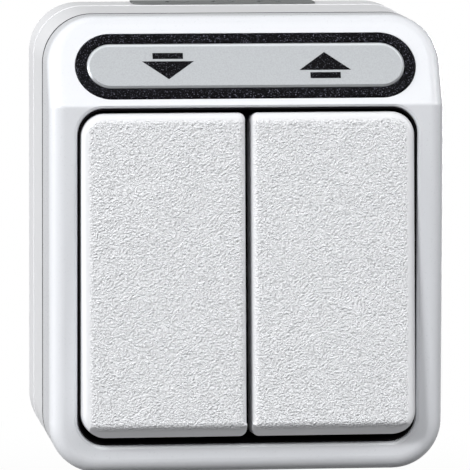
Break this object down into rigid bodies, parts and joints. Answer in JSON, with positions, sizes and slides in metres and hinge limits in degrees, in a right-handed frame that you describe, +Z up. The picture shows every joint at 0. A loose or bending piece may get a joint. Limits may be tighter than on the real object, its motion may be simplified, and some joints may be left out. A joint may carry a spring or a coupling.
{
  "type": "roller shutter switch",
  "caption": "Surface-mounted shutter switch: deep box, cover with sloped label field, two side-by-side rockers for down and up.",
  "frame": {"origin": "middle of the wall face, which is the back of the box", "axes": "+Z up the wall, +X to the right as seen from the front, the rockers face -Y and +Y points into the wall"},
  "size_m": [0.075, 0.0502, 0.0862],
  "materials": {
    "box_white": "satin moulded thermoplastic",
    "cover_white": "satin moulded thermoplastic",
    "rocker_white": "fine spark-eroded grain, satin edges",
    "insert_grey": "soft matt elastomer",
    "gasket_grey": "soft matt elastomer",
    "label_black": "grained black",
    "label_silver": "smooth silver-grey",
    "seal_black": "soft matt elastomer",
    "plate_steel": "zinc-plated sheet",
    "insert_body": "moulded insulating resin",
    "toggle_plastic": "moulded low-friction plastic",
    "plunger_plastic": "moulded low-friction plastic",
    "spring_steel": "drawn wire",
    "contact_brass": "stamped sheet",
    "slider_plastic": "moulded low-friction plastic",
    "screw_steel": "zinc-plated"
  },
  "bodies": {
    "box": {"base_box": "box_white", "front_cover": "cover_white", "top_cable_insert": "insert_grey", "bottom_cable_insert": "insert_grey", "cover_gasket": "gasket_grey", "label_frame": "label_black", "label_plate": "label_silver", "rocker_seal": "seal_black", "support_plate": "plate_steel", "mechanism_housing": "insert_body", "mechanism_lid": "insert_body", "common_terminal": "contact_brass", "down_terminal": "contact_brass", "up_terminal": "contact_brass", "earth_terminal": "contact_brass", "terminal_screws": "screw_steel", "cover_screws": "screw_steel", "plate_screws": "screw_steel", "lid_screws": "screw_steel"},
    "rocker_left_body": {"rocker_left": "rocker_white", "toggle_left": "toggle_plastic", "plunger_left": "plunger_plastic", "plunger_spring_left": "spring_steel"},
    "lever_left_body": {"contact_lever_left": "contact_brass"},
    "rocker_right_body": {"rocker_right": "rocker_white", "toggle_right": "toggle_plastic", "plunger_right": "plunger_plastic", "plunger_spring_right": "spring_steel"},
    "lever_right_body": {"contact_lever_right": "contact_brass"},
    "interlock_body": {"interlock_slider": "slider_plastic"}
  },
  "joints": [
    {"name": "rocker_left_tilt", "type": "hinge", "parent": "box", "child": "rocker_left_body", "pos_m": [-0.0144, -0.0401, -0.0056], "axis": [1, 0, 0], "range_deg": [0, 8.4]},
    {"name": "lever_left_tilt", "type": "hinge", "parent": "box", "child": "lever_left_body", "pos_m": [-0.0144, -0.0174, -0.0056], "axis": [1, 0, 0], "range_deg": [-8.4, 0]},
    {"name": "rocker_right_tilt", "type": "hinge", "parent": "box", "child": "rocker_right_body", "pos_m": [0.0144, -0.0401, -0.0056], "axis": [1, 0, 0], "range_deg": [0, 8.4]},
    {"name": "lever_right_tilt", "type": "hinge", "parent": "box", "child": "lever_right_body", "pos_m": [0.0144, -0.0174, -0.0056], "axis": [1, 0, 0], "range_deg": [-8.4, 0]},
    {"name": "interlock_slide", "type": "slide", "parent": "box", "child": "interlock_body", "axis": [1, 0, 0], "range_m": [-0.001, 0.001]}
  ],
  "couplings": [
    {"joint": "lever_left_tilt", "follows": "rocker_left_tilt", "ratio": -1},
    {"joint": "lever_right_tilt", "follows": "rocker_right_tilt", "ratio": -1}
  ]
}
